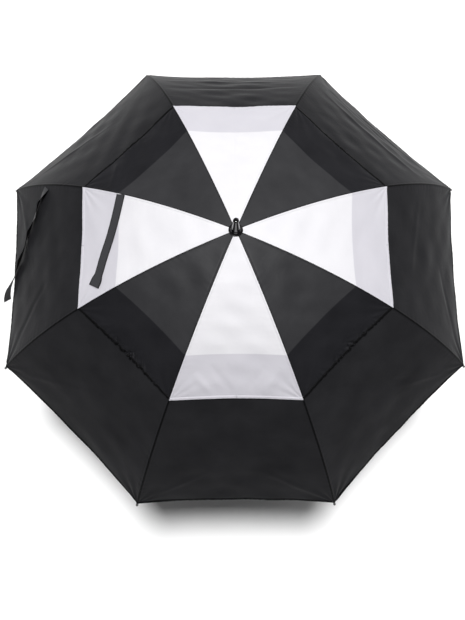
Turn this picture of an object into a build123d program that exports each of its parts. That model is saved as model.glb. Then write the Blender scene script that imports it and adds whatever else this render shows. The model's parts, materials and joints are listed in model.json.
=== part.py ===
from build123d import *
import os
from math import acos, atan2, cos, degrees, radians, sin, sqrt, tan

# Golf umbrella with a vented double canopy, open, standing upright.
# Origin: centre of the handle's bottom end. +Z runs up the shaft to the ferrule.
# Ribs are numbered 1 to 8 anticlockwise seen from above. Gore n lies between rib n and the next one.

# ---- driving dimensions, millimetres and degrees ----
rib_count = 8
first_rib_angle = -22.5
rib_arc_length = 764.0        # along the curve, from the shaft axis to the end of the rib tip
dome_radius = 752.0           # radius of the ribs' curve when open
fabric_edge_back = 14.0       # lower canopy edge, back from the end of the rib tip
upper_edge_arc = 417.0        # upper canopy edge, along the rib
lower_start_arc = 305.0       # inner edge of the lower canopy, along the rib
fabric_start = 2.0            # sheets start inside the canopy's hole, which cuts them back
fabric_thickness = 0.3
fabric_over_rib = 0.8         # underside of the lower canopy above the ribs
fabric_layer_gap = 0.7        # between the two canopies where they overlap
seam_gap = 0.15               # between a gore's edge and the rib's plane
canopy_hole_clearance = 0.8   # radial, round the shaft

handle_length = 150.0
handle_radius = 16.0
handle_collar_step = 1.5      # collar proud of the grip
handle_collar_length = 20.0
handle_floor = 12.0           # solid end below the shaft
handle_end_blend = 5.0
handle_top_blend = 3.0
handle_groove_count = 4
handle_groove_depth = 0.8
handle_groove_width = 1.2
handle_groove_pitch = 3.0
handle_first_groove = 3.6     # above the bottom of the collar

shaft_radius = 7.0
shaft_wall = 2.4
shaft_fit = 0.05              # radial, shaft in handle, crown, cap and ferrule

crown_pivot_offset = 3.5      # rib pivots out from the shaft's surface
crown_rim = 3.5               # crown beyond the rib pivots
crown_skirt = 7.0             # crown below the rib pivots
crown_roof_bottom = 2.7
crown_under_fabric = 0.4      # top of the crown below the upper canopy
ring_wire_radius = 0.7
ring_fit = 0.1                # radial, wire in its groove and in the eyes

runner_neck_wall = 1.95
runner_pivot_offset = 2.0     # stretcher pivots out from the neck's surface
runner_rim = 3.3              # flange beyond the stretcher pivots
runner_flange_half_height = 3.2
runner_neck_length = 10.0
runner_grip_wall = 4.25
runner_grip_length = 34.0
runner_grip_blend = 1.5
runner_waist_depth = 0.9      # shallow waist for the fingers
runner_waist_margin = 6.0     # grip left full size at each end of the waist
runner_bore_clearance = 0.25
runner_closed_gap = 6.0       # bottom of the folded runner above the handle
tip_closed_gap = 4.0          # folded rib tips above the handle
folded_joint_radius = 24.0    # rib joints from the shaft axis when folded

tab_thickness = 1.8           # flat ends of ribs and stretchers
tab_slot_clearance = 0.3      # each side of a tab
tab_half_height = 1.5
eye_radius = 2.2
inner_rod_radius = 2.0
outer_rod_radius = 1.7
stretcher_rod_radius = 1.75
socket_wall = 0.5
rod_fit = 0.02                # radial, rod in its crimped socket
eye_neck_end = 24.0           # crown end of the inner rod, from the shaft axis
eye_neck_overlap = 4.0
eye_socket_length = 14.0

bracket_arc = 350.0           # rib joint and stretcher pin, along the rib
bracket_pin_drop = 6.0        # stretcher pin below the rib joint
bracket_pin_radius = 1.0
pin_clearance = 0.08          # radial, pins in tabs
bracket_cheek = 0.9
bracket_back = 18.0           # bracket's length towards the crown
bracket_boss_radius = 2.6     # cheek round the stretcher pin
bracket_slot_back = 7.5       # cheeks stand apart this far behind the rib joint
bracket_web_tilt = 32.0
bracket_web_size = (11.0, 3.4)
bracket_web_drop = 4.2
bracket_pin_head = 0.4        # pin proud of each cheek
outer_neck_length = 10.0      # rib joint to the outer rod's socket
outer_socket_length = 16.0
stretcher_lean = 62.7         # open stretcher from the vertical
stretcher_end_length = 12.0   # flat end with its socket
stretcher_socket_length = 6.0
open_pivot_gap = 0.6          # stretcher end short of the runner's wire

tip_length = 15.0
tip_wall = 1.2
tip_ball_step = 0.4           # ball end proud of the tip's barrel
tip_socket_depth = 9.0

cap_rim = 9.5                 # cap beyond the shaft's surface
cap_thickness = 1.3
cap_lift = 0.3                # cap above the canopy
cap_blend = 0.9
ferrule_length = 62.0
ferrule_base_wall = 4.8
ferrule_waist_wall = 3.2
ferrule_tip_radius = 6.4
ferrule_socket_depth = 22.0
ferrule_collar_height = 6.0
ferrule_collar_taper = 2.0
ferrule_shoulder_step = 0.4   # foot of the taper proud of the waist
ferrule_tip_blend = 3.5

catch_thickness = 2.4
catch_proud = 2.2
catch_tooth_height = 12.0
catch_foot = 4.0
catch_back = 1.4              # spring strip behind the shaft's wall
catch_tip_height = 3.0        # upright face of the tooth
catch_clearance = 0.2
catch_travel = 2.4
catch_below_runner = 1.0

strap_width = 22.0
strap_thickness = 0.8
strap_lift = 0.5
# centre lines in the plan of the gore: (distance out from the shaft, distance across)
upper_strap_line = [(268, -110), (285, -34), (305, 31), (319, 87), (328, 106)]
lower_strap_line = [(474, -187), (490, -158), (526, -84), (547, -37), (571, 4), (595, 38), (622, 48)]
lower_strap_reach = 90.0      # the sheet it is cut from runs this far past the ribs' ends
cut_margin = 1.0              # cutting tools pass this far through

# ---- sizes worked out from them ----
half_gore = 180.0 / rib_count
lower_fabric_lift = inner_rod_radius + fabric_over_rib
upper_fabric_lift = lower_fabric_lift + fabric_thickness + fabric_layer_gap
crown_pivot_radius = shaft_radius + crown_pivot_offset
runner_bore_radius = shaft_radius + runner_bore_clearance
runner_neck_radius = runner_bore_radius + runner_neck_wall
runner_pivot_radius = runner_neck_radius + runner_pivot_offset
pin_reach = (dome_radius - bracket_pin_drop) * sin(bracket_arc / dome_radius)
stretcher_length = (pin_reach - runner_pivot_radius) / sin(radians(stretcher_lean))
runner_below_pivot = runner_flange_half_height + runner_neck_length + runner_grip_length


def on_circle(radius_change, arc):
    """(out, up) of a point on the rib's plane, from the centre of the rib's circle."""
    reach, turn = dome_radius + radius_change, arc / dome_radius
    return reach * sin(turn), reach * cos(turn)


def swung_down(point, pivot, angle):
    """A point of the rib's plane, turned outer end down about a pivot."""
    out, up = point[0] - pivot[0], point[1] - pivot[1]
    return pivot[0] + out * cos(angle) + up * sin(angle), pivot[1] - out * sin(angle) + up * cos(angle)


# the fold: the ribs swing down until their joints lie beside the shaft, and the runner follows
crown_pivot = (crown_pivot_radius, sqrt(dome_radius**2 - crown_pivot_radius**2))
joint_open = on_circle(0, bracket_arc)
pin_open = on_circle(-bracket_pin_drop, bracket_arc)
joint_run = (joint_open[0] - crown_pivot[0], joint_open[1] - crown_pivot[1])
joint_distance = sqrt(joint_run[0] ** 2 + joint_run[1] ** 2)
rib_swing = atan2(joint_run[1], joint_run[0]) + acos((folded_joint_radius - crown_pivot_radius) / joint_distance)
pin_folded = swung_down(pin_open, crown_pivot, rib_swing)
stretcher_folded_rise = sqrt(stretcher_length**2 - (pin_folded[0] - runner_pivot_radius) ** 2)
runner_folded_drop = dome_radius - pin_folded[1] + stretcher_folded_rise
crown_height = handle_length + max(
    rib_arc_length + tip_closed_gap,
    runner_folded_drop + runner_below_pivot + runner_closed_gap,
)
curve_centre = crown_height - dome_radius
pin_height = curve_centre + pin_open[1]
runner_open = pin_height - stretcher_length * cos(radians(stretcher_lean))
runner_closed = crown_height - runner_folded_drop
crown_roof_top = upper_fabric_lift - crown_under_fabric
canopy_hole_radius = shaft_radius + canopy_hole_clearance
collar_radius = handle_radius + handle_collar_step
crown_outer_radius = crown_pivot_radius + crown_rim
runner_flange_radius = runner_pivot_radius + runner_rim
runner_grip_radius = runner_bore_radius + runner_grip_wall
cap_radius = shaft_radius + cap_rim
ferrule_base_radius = shaft_radius + ferrule_base_wall
ferrule_waist_radius = shaft_radius + ferrule_waist_wall
tip_radius = outer_rod_radius + tip_wall
tip_ball_radius = tip_radius + tip_ball_step
slot_width = tab_thickness + 2 * tab_slot_clearance
cap_bottom = crown_height + upper_fabric_lift + fabric_thickness + cap_lift
cap_top = cap_bottom + cap_thickness

os.makedirs("parts", exist_ok=True)


def save(name, *solids):
    """Write one node's solids to its file."""
    export_step(Compound(children=list(solids)) if len(solids) > 1 else solids[0], f"parts/{name}.step")


def rib_angle(number):
    """Direction of a rib, in degrees about the shaft."""
    return first_rib_angle + 360.0 / rib_count * (number - 1)


def turned(shape, angle):
    """Turn a shape about the shaft."""
    return Rot(0, 0, angle) * shape


def along_rib(shape, arc):
    """Carry a shape from the top of the rib's circle out along the rib."""
    return Pos(0, 0, curve_centre) * Rot(0, degrees(arc / dome_radius), 0) * Pos(0, 0, -curve_centre) * shape


def rib_rod(radius, start, end):
    """Round rod bent to the rib's curve between two arc lengths."""
    section = Plane.YZ * Pos(0, crown_height) * Circle(radius)
    rod = revolve(section, Axis((0, 0, curve_centre), (0, 1, 0)), degrees((end - start) / dome_radius))
    return along_rib(rod, start)


def disc(radius, bottom, top):
    """Cylinder about the shaft's axis between two heights."""
    return Pos(0, 0, (bottom + top) / 2) * Cylinder(radius, top - bottom)


def bore(radius, bottom, top):
    """Cylinder to cut a hole with, longer than the hole at both ends."""
    return disc(radius, bottom - cut_margin, top + cut_margin)


def lying(radius, length, x):
    """Cylinder along X, centred at x."""
    return Pos(x, 0, 0) * Rot(0, 90, 0) * Cylinder(radius, length)


def cross_disc(radius, width, x, z):
    """Cylinder across the rib's plane, centred at x, z."""
    return Pos(x, 0, z) * Rot(90, 0, 0) * Cylinder(radius, width)


def block(x_low, x_high, y_size, z_low, z_high):
    """Box centred on the XZ plane."""
    size = (x_high - x_low, y_size, z_high - z_low)
    return Pos((x_low + x_high) / 2, 0, (z_low + z_high) / 2) * Box(*size)


def turned_profile(*points):
    """Solid of revolution about the shaft from (radius, height) points."""
    return revolve(Plane.XZ * make_face(Polyline(*points, close=True)), Axis.Z)


def at_ribs(shape):
    """Copies of a shape about the shaft, one for each rib."""
    return [turned(shape, rib_angle(number)) for number in range(1, rib_count + 1)]


# ---- shaft, handle and ferrule ----
def catch_window(z_low, z_high):
    """Slot through one side of the shaft for a catch."""
    width = catch_thickness + 2 * catch_clearance
    return block(0, shaft_radius + cut_margin, width, z_low - catch_clearance, z_high + catch_clearance)


top_catch_shelf = runner_open - runner_below_pivot - catch_below_runner
bottom_catch_shelf = runner_closed + runner_flange_half_height + catch_below_runner
shaft_top = cap_top + ferrule_socket_depth
shaft = disc(shaft_radius, handle_floor, shaft_top) - bore(shaft_radius - shaft_wall, handle_floor, shaft_top)
shaft -= catch_window(top_catch_shelf - catch_tooth_height, top_catch_shelf)
shaft -= catch_window(bottom_catch_shelf, bottom_catch_shelf + catch_tooth_height)
save("shaft", shaft)

collar_bottom = handle_length - handle_collar_length
handle = disc(handle_radius, 0, collar_bottom) + disc(collar_radius, collar_bottom, handle_length)
handle = fillet(handle.edges().filter_by(GeomType.CIRCLE).group_by(Axis.Z)[0], handle_end_blend)
handle = fillet(handle.edges().filter_by(GeomType.CIRCLE).group_by(Axis.Z)[-1], handle_top_blend)
handle -= disc(shaft_radius + shaft_fit, handle_floor, handle_length + cut_margin)
for n in range(handle_groove_count):
    low = collar_bottom + handle_first_groove + n * handle_groove_pitch
    high = low + handle_groove_width
    handle -= disc(collar_radius + cut_margin, low, high) - bore(collar_radius - handle_groove_depth, low, high)
save("handle", handle)

top_cap = disc(cap_radius, cap_bottom, cap_top) - bore(shaft_radius + shaft_fit, cap_bottom, cap_top)
cap_top_edges = top_cap.edges().filter_by(GeomType.CIRCLE).group_by(Axis.Z)[-1]
top_cap = fillet(cap_top_edges.sort_by(SortBy.RADIUS)[-1], cap_blend)
save("top_cap", top_cap)

ferrule_top = cap_top + ferrule_length
collar_top = cap_top + ferrule_collar_height
ferrule = turned_profile(
    (0, cap_top),
    (ferrule_base_radius, cap_top),
    (ferrule_base_radius, collar_top - ferrule_collar_taper),
    (ferrule_waist_radius + ferrule_shoulder_step, collar_top),
    (ferrule_waist_radius, collar_top + ferrule_collar_taper),
    (ferrule_tip_radius, ferrule_top),
    (0, ferrule_top),
)
ferrule = fillet(ferrule.edges().filter_by(GeomType.CIRCLE).group_by(Axis.Z)[-1], ferrule_tip_blend)
ferrule -= disc(shaft_radius + shaft_fit, cap_top - cut_margin, shaft_top)
save("ferrule", ferrule)


# ---- crown: slotted hub and the wire that the ribs hang on ----
def wire_ring(pivot_radius, height):
    """Closed wire that the eyes turn on."""
    return Pos(0, 0, height) * Torus(pivot_radius, ring_wire_radius)


def wire_groove(pivot_radius, outer_radius, height):
    """Room for the wire, open to the outside so that it can be laid in."""
    half = ring_wire_radius + ring_fit
    way_in = disc(outer_radius + cut_margin, height - half, height + half)
    way_in -= bore(pivot_radius, height - half, height + half)
    return way_in + Pos(0, 0, height) * Torus(pivot_radius, half)


crown_bottom, crown_top = crown_height - crown_skirt, crown_height + crown_roof_top
crown = disc(crown_outer_radius, crown_bottom, crown_top) - bore(shaft_radius + shaft_fit, crown_bottom, crown_top)
slot_floor, slot_end = crown_pivot_radius - eye_radius - tab_slot_clearance, crown_outer_radius + cut_margin
crown_slot = block(slot_floor, slot_end, slot_width, crown_bottom - cut_margin, crown_height + crown_roof_bottom)
for slot in at_ribs(crown_slot):
    crown -= slot
crown -= wire_groove(crown_pivot_radius, crown_outer_radius, crown_height)
save("crown_notch", crown)
save("crown_ring", wire_ring(crown_pivot_radius, crown_height))

# ---- runner: slotted flange, neck and finger grip, with a keyway over the catches ----
flange_bottom = runner_open - runner_flange_half_height
flange_top = runner_open + runner_flange_half_height
grip_top = flange_bottom - runner_neck_length
grip_bottom = grip_top - runner_grip_length
runner = disc(runner_flange_radius, flange_bottom, flange_top)
runner += disc(runner_neck_radius, grip_top, flange_bottom)
runner += disc(runner_grip_radius, grip_bottom, grip_top)
runner = fillet(runner.edges().filter_by(GeomType.CIRCLE).group_by(Axis.Z)[0], runner_grip_blend)
waist_low, waist_high = grip_bottom + runner_waist_margin, grip_top - runner_waist_margin
waist = disc(runner_grip_radius + cut_margin, waist_low, waist_high)
runner -= waist - bore(runner_grip_radius - runner_waist_depth, waist_low, waist_high)
runner -= bore(runner_bore_radius, grip_bottom, flange_top)
cut_low, cut_high = flange_bottom - cut_margin, flange_top + cut_margin
for slot in at_ribs(block(runner_neck_radius, runner_flange_radius + cut_margin, slot_width, cut_low, cut_high)):
    runner -= slot
runner -= wire_groove(runner_pivot_radius, runner_flange_radius, runner_open)
keyway_reach, keyway_width = shaft_radius + catch_proud + catch_clearance, catch_thickness + 2 * catch_clearance
runner -= block(0, keyway_reach, keyway_width, grip_bottom - cut_margin, cut_high)
save("runner", runner)
save("runner_ring", wire_ring(runner_pivot_radius, runner_open))


# ---- catches: spring teeth that stand out of the shaft and press in ----
def catch(shelf, ramp):
    """Catch tooth with its shelf at a height, its ramp falling (-1) or rising (+1) from the shelf."""
    inside = shaft_radius - shaft_wall - catch_clearance
    back = inside - catch_back
    tip = shaft_radius + catch_proud
    far = shelf + ramp * catch_tooth_height
    points = [
        (back, far + ramp * catch_foot),
        (inside, far + ramp * catch_foot),
        (inside, far),
        (tip, shelf + ramp * catch_tip_height),
        (tip, shelf),
        (inside, shelf),
        (inside, shelf - ramp * catch_foot),
        (back, shelf - ramp * catch_foot),
    ]
    return extrude(Plane.XZ * make_face(Polyline(*points, close=True)), catch_thickness / 2, both=True)


save("top_catch", catch(top_catch_shelf, -1))
save("bottom_catch", catch(bottom_catch_shelf, 1))


# ---- ribs ----
def crimped_socket(rod_radius, start, end):
    """Tube crimped over the end of a rod, bent with it."""
    wall = rib_rod(rod_radius + socket_wall, start, end)
    return wall - rib_rod(rod_radius + rod_fit, start - cut_margin, end + cut_margin)


def rib_eye():
    """Flat eye and socket at the crown end of a rib, in the rib's own plane."""
    eye_height = curve_centre + crown_pivot[1]
    low, high = eye_height - tab_half_height, eye_height + tab_half_height
    tab = cross_disc(eye_radius, tab_thickness, crown_pivot_radius, eye_height)
    tab += block(crown_pivot_radius, eye_neck_end, tab_thickness, low, high)
    tab += rib_rod(inner_rod_radius + socket_wall, eye_neck_end - eye_neck_overlap, eye_neck_end)
    tab -= cross_disc(ring_wire_radius + ring_fit, slot_width, crown_pivot_radius, eye_height)
    return tab + crimped_socket(inner_rod_radius, eye_neck_end, eye_neck_end + eye_socket_length)


def bracket():
    """Two cheeks and two pins, where the rib's two lengths and the stretcher meet, at the end of the inner rod."""
    outside = slot_width + 2 * bracket_cheek
    top, low = crown_height + inner_rod_radius, crown_height - bracket_pin_drop
    boss, slot_back = bracket_boss_radius, bracket_slot_back
    web_length, web_height = bracket_web_size
    side = block(-bracket_back + socket_wall + slot_back, 0, outside, crown_height - inner_rod_radius, top)
    side += cross_disc(inner_rod_radius, outside, 0, crown_height)
    side += cross_disc(boss, outside, 0, low)
    side += block(-boss, inner_rod_radius, outside, low, crown_height)
    web = Rot(0, bracket_web_tilt, 0) * Box(web_length, outside, web_height)
    side += Pos(socket_wall - slot_back, 0, crown_height - bracket_web_drop) * web
    side -= block(-slot_back, outer_neck_length, slot_width, low - slot_back, top + cut_margin)
    relief = Rot(0, bracket_web_drop - bracket_web_tilt, 0) * Box(2 * slot_back, slot_width, 2 * bracket_web_drop)
    side -= Pos(-slot_back, 0, low) * relief
    side = along_rib(side, bracket_arc)
    side -= rib_rod(inner_rod_radius + rod_fit, bracket_arc - bracket_back, bracket_arc - slot_back - socket_wall)
    sleeve_start, sleeve_end = bracket_arc - bracket_back - eye_neck_overlap, bracket_arc - outer_neck_length
    sleeve = crimped_socket(inner_rod_radius, sleeve_start, sleeve_end)
    pin_width = outside + 2 * bracket_pin_head
    pins = [cross_disc(bracket_pin_radius, pin_width, 0, height) for height in (crown_height, low)]
    return side + sleeve + [along_rib(pin, bracket_arc) for pin in pins]


def outer_tab():
    """Flat eye and socket at the inner end of the outer rod."""
    low, high = crown_height - tab_half_height, crown_height + tab_half_height
    socket_start = bracket_arc + outer_neck_length
    tab = cross_disc(inner_rod_radius - tab_slot_clearance, tab_thickness, 0, crown_height)
    tab += block(0, outer_neck_length - cut_margin, tab_thickness, low, high)
    tab -= cross_disc(bracket_pin_radius + pin_clearance, slot_width, 0, crown_height)
    tab = along_rib(tab, bracket_arc)
    tab += rib_rod(outer_rod_radius + socket_wall, socket_start - eye_neck_overlap, socket_start)
    return tab + crimped_socket(outer_rod_radius, socket_start, socket_start + outer_socket_length)


tip_start = rib_arc_length - tip_length
inner_rod = rib_rod(inner_rod_radius, eye_neck_end, bracket_arc - bracket_slot_back - cut_margin)
outer_rod = rib_rod(outer_rod_radius, bracket_arc + outer_neck_length, tip_start + tip_socket_depth)
eye_fitting = rib_eye()
bracket_fitting = bracket()
outer_fitting = outer_tab()

tip = rib_rod(tip_radius, tip_start, rib_arc_length - tip_ball_radius)
tip += along_rib(Pos(0, 0, crown_height) * Sphere(tip_ball_radius), rib_arc_length - tip_ball_radius)
tip -= rib_rod(outer_rod_radius + rod_fit, tip_start - cut_margin, tip_start + tip_socket_depth)


# ---- stretchers ----
def stretcher():
    """Straight rod with a flat eye at the rib and a flat end at the runner, in the rib's own plane."""
    start, stop = stretcher_end_length, stretcher_length - stretcher_end_length
    end = stretcher_length - ring_wire_radius - open_pivot_gap
    socket_radius, half = stretcher_rod_radius + socket_wall, tab_half_height
    eye = cross_disc(eye_radius, tab_thickness, 0, 0) + block(0, start, tab_thickness, -half, half)
    eye += lying(socket_radius, stretcher_socket_length, start)
    eye -= cross_disc(bracket_pin_radius + pin_clearance, slot_width, 0, 0)
    flat = block(stop, end, tab_thickness, -half, half) + lying(socket_radius, stretcher_socket_length, stop)
    rod = lying(stretcher_rod_radius, stop - start - stretcher_socket_length, stretcher_length / 2)
    place = Pos(pin_reach, 0, pin_height) * Rot(0, 180 - (90 - stretcher_lean), 0)
    return place * (eye + rod + flat)


stretcher_shape = stretcher()
for number in range(1, rib_count + 1):
    angle = rib_angle(number)
    save(f"rib_inner_{number}", *[turned(s, angle) for s in (inner_rod, eye_fitting, bracket_fitting)])
    save(f"rib_outer_{number}", *[turned(s, angle) for s in (outer_rod, outer_fitting)])
    save(f"rib_tip_{number}", turned(tip, angle))
    save(f"stretcher_{number}", turned(stretcher_shape, angle))


# ---- canopy: gores, each curved one way only, stretched straight from rib to rib ----
def fabric_shell(lift, thickness, start, end, width):
    """Sheet over one gore, centred on the XZ plane, between two arc lengths."""
    edges = []
    for offset in (lift, lift + thickness):
        reach = dome_radius + offset
        low = 90 - degrees(end / dome_radius)
        high = 90 - degrees(start / dome_radius)
        across = reach * cos(radians(half_gore))
        arc = EllipticalCenterArc((0, curve_centre), across, reach, low, arc_size=high - low)
        edges.append(arc)
    inner, outer = edges
    section = make_face([inner, Line(inner @ 1, outer @ 1), outer, Line(outer @ 0, inner @ 0)])
    return extrude(Plane.XZ * section, width / 2, both=True)


def gore(lift, start, end):
    """One sewn panel, from seam to seam."""
    far, near = dome_radius, fabric_start
    slope, gap = tan(radians(half_gore)), seam_gap / cos(radians(half_gore))
    sheet = fabric_shell(lift, fabric_thickness, start, end, 2 * dome_radius)
    outline = Polyline(
        (near, -(near * slope - gap)),
        (far, -(far * slope - gap)),
        (far, far * slope - gap),
        (near, near * slope - gap),
        close=True,
    )
    wedge = Pos(0, 0, curve_centre) * extrude(make_face(outline), 2 * dome_radius)
    return (sheet & wedge) - bore(canopy_hole_radius, crown_height, cap_bottom)


upper_gore = gore(upper_fabric_lift, fabric_start, upper_edge_arc)
lower_gore = gore(lower_fabric_lift, lower_start_arc, rib_arc_length - fabric_edge_back)
for number in range(1, rib_count + 1):
    angle = rib_angle(number) + half_gore
    save(f"upper_gore_{number}", turned(upper_gore, angle))
    save(f"lower_gore_{number}", turned(lower_gore, angle))


# ---- tie straps, lying across the gore between ribs 5 and 6 ----
def strap(lift, end_arc, centre_line):
    """Strip laid on a gore. The centre line's points are (distance out, distance across) in the gore's plan."""
    sheet = fabric_shell(lift, strap_thickness, fabric_start, end_arc, 2 * dome_radius)
    sides = []
    for side in (strap_width / 2, -strap_width / 2):
        row = []
        for n, (out, across) in enumerate(centre_line):
            back = centre_line[max(n - 1, 0)]
            ahead = centre_line[min(n + 1, len(centre_line) - 1)]
            step_out, step_across = ahead[0] - back[0], ahead[1] - back[1]
            run = sqrt(step_out**2 + step_across**2)
            row.append((out - step_across / run * side, across + step_out / run * side))
        sides.append(row)
    outline = Polyline(*sides[0], *reversed(sides[1]), close=True)
    return sheet & (Pos(0, 0, curve_centre) * extrude(make_face(outline), 2 * dome_radius))


strap_angle = rib_angle(5) + half_gore
upper_strap_lift = upper_fabric_lift + fabric_thickness + strap_lift
lower_strap_lift = lower_fabric_lift + fabric_thickness + strap_lift
save("upper_tie_strap", turned(strap(upper_strap_lift, upper_edge_arc, upper_strap_line), strap_angle))
lower_strap_end = rib_arc_length + lower_strap_reach
save("lower_tie_strap", turned(strap(lower_strap_lift, lower_strap_end, lower_strap_line), strap_angle))
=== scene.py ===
"""Open golf umbrella with a vented double canopy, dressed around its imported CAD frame.

Lengths are metres and angles are radians unless a name says otherwise. Gore n lies between
rib n and the next rib. Arc is the distance along a rib from the shaft, and span runs from -1
at a gore's first rib to 1 at its second.
"""
import json
import logging
from dataclasses import dataclass, field, replace
from enum import Enum
from math import cos, pi, radians, sin, sqrt
from typing import Any, Sequence

import bpy
import numpy as np
from mathutils import Matrix, Vector


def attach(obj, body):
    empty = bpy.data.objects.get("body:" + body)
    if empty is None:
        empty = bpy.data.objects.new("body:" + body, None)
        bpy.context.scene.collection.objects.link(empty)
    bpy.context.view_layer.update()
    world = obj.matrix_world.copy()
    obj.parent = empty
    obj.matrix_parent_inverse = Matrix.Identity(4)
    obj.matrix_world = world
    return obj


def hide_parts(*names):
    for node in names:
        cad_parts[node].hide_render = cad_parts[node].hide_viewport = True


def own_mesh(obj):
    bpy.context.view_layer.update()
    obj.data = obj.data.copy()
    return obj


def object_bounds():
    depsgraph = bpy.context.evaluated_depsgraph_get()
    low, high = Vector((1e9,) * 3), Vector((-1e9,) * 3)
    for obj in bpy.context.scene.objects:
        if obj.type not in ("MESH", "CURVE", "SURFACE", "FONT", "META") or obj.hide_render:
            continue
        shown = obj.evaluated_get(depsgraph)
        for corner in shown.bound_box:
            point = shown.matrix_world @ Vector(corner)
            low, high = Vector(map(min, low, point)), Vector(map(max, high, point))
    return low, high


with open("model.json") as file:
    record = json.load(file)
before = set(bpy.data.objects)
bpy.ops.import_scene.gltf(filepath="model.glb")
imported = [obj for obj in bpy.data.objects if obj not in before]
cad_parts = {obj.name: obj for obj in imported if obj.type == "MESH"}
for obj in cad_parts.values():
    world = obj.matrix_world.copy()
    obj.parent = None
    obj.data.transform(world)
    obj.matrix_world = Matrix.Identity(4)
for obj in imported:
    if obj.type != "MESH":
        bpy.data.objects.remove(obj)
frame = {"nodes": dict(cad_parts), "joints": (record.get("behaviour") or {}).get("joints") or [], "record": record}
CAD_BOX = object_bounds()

logging.basicConfig(level=logging.INFO, format="%(message)s")
LOG = logging.getLogger("umbrella")
MM = 0.001
Socket = bpy.types.NodeSocket
Tree = bpy.types.NodeTree

RIBS = 8
HALF_GORE = pi / RIBS
DOME_RADIUS = 0.752
RIB_LENGTH = 0.764            # along the curve, from the shaft to the tip
LOWER_START = 0.305           # arc where the lower canopy begins, under the upper one
WAVE_PERIOD = pi / 10         # length of one band of a wave texture at scale 1

# kinds of node that are used often
MATH, MAP_RANGE, SEPARATE = "ShaderNodeMath", "ShaderNodeMapRange", "ShaderNodeSeparateXYZ"
MIX, NOISE, BUMP = "ShaderNodeMix", "ShaderNodeTexNoise", "ShaderNodeBump"


# ---- nodes and finishes ----
def srgb(code: str) -> tuple[float, float, float, float]:
    """Turn an sRGB hex colour to linear.

    Args:
        code: Six hex digits after a hash.

    Returns:
        Red, green, blue and an alpha of one.
    """
    parts = [int(code[i:i + 2], 16) / 255 for i in (1, 3, 5)]
    linear = [c / 12.92 if c <= 0.04045 else ((c + 0.055) / 1.055) ** 2.4 for c in parts]
    return (*linear, 1.0)


def add_node(tree: Tree, kind: str, inputs: dict | None = None, **settings: Any) -> bpy.types.Node:
    """Add a node with its settings and links.

    Args:
        tree: The tree it goes in.
        kind: The node's type name.
        inputs: Value or output socket for each input, by its name or number.
        settings: The node's own properties.

    Returns:
        The new node.
    """
    node = tree.nodes.new(kind)
    for name, value in settings.items():
        setattr(node, name, value)
    for name, value in (inputs or {}).items():
        if isinstance(value, Socket):
            tree.links.new(value, node.inputs[name])
        else:
            node.inputs[name].default_value = value
    return node


@dataclass(frozen=True)
class Finish:
    """What every finish has: a name and two colours, and a surface that its own class draws."""

    name: str
    colour: str
    shade: str                    # the second colour, which the pattern reaches

    def build(self) -> bpy.types.Material:
        """Make the material."""
        material = bpy.data.materials.new(self.name)
        material.use_nodes = True
        tree = material.node_tree
        tree.nodes.clear()
        add_node(tree, "ShaderNodeOutputMaterial", {"Surface": self.surface(tree)})
        return material

    def surface(self, tree: Tree) -> Socket:
        """Draw the surface. A plain finish is matt and has one colour."""
        face_in = {"Base Color": srgb(self.colour), "Roughness": 0.9}
        return add_node(tree, "ShaderNodeBsdfPrincipled", face_in).outputs[0]

    def mottled(self, tree: Tree, place: Socket, scale: float, detail: float) -> tuple[Socket, Socket]:
        """Draw a cloudy pattern that runs from the finish's colour to its shade.

        Args:
            tree: The material's tree.
            place: Where the pattern is laid out.
            scale: How many clouds there are to a metre.
            detail: How fine its smallest clouds are.

        Returns:
            The pattern's strength and the mixed colour.
        """
        cloud_in = {"Vector": place, "Scale": scale, "Detail": detail}
        cloud = add_node(tree, NOISE, cloud_in).outputs["Fac"]
        mixed_in = {"Factor": cloud, 6: srgb(self.colour), 7: srgb(self.shade)}
        return cloud, add_node(tree, MIX, mixed_in, data_type="RGBA").outputs[2]


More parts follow.
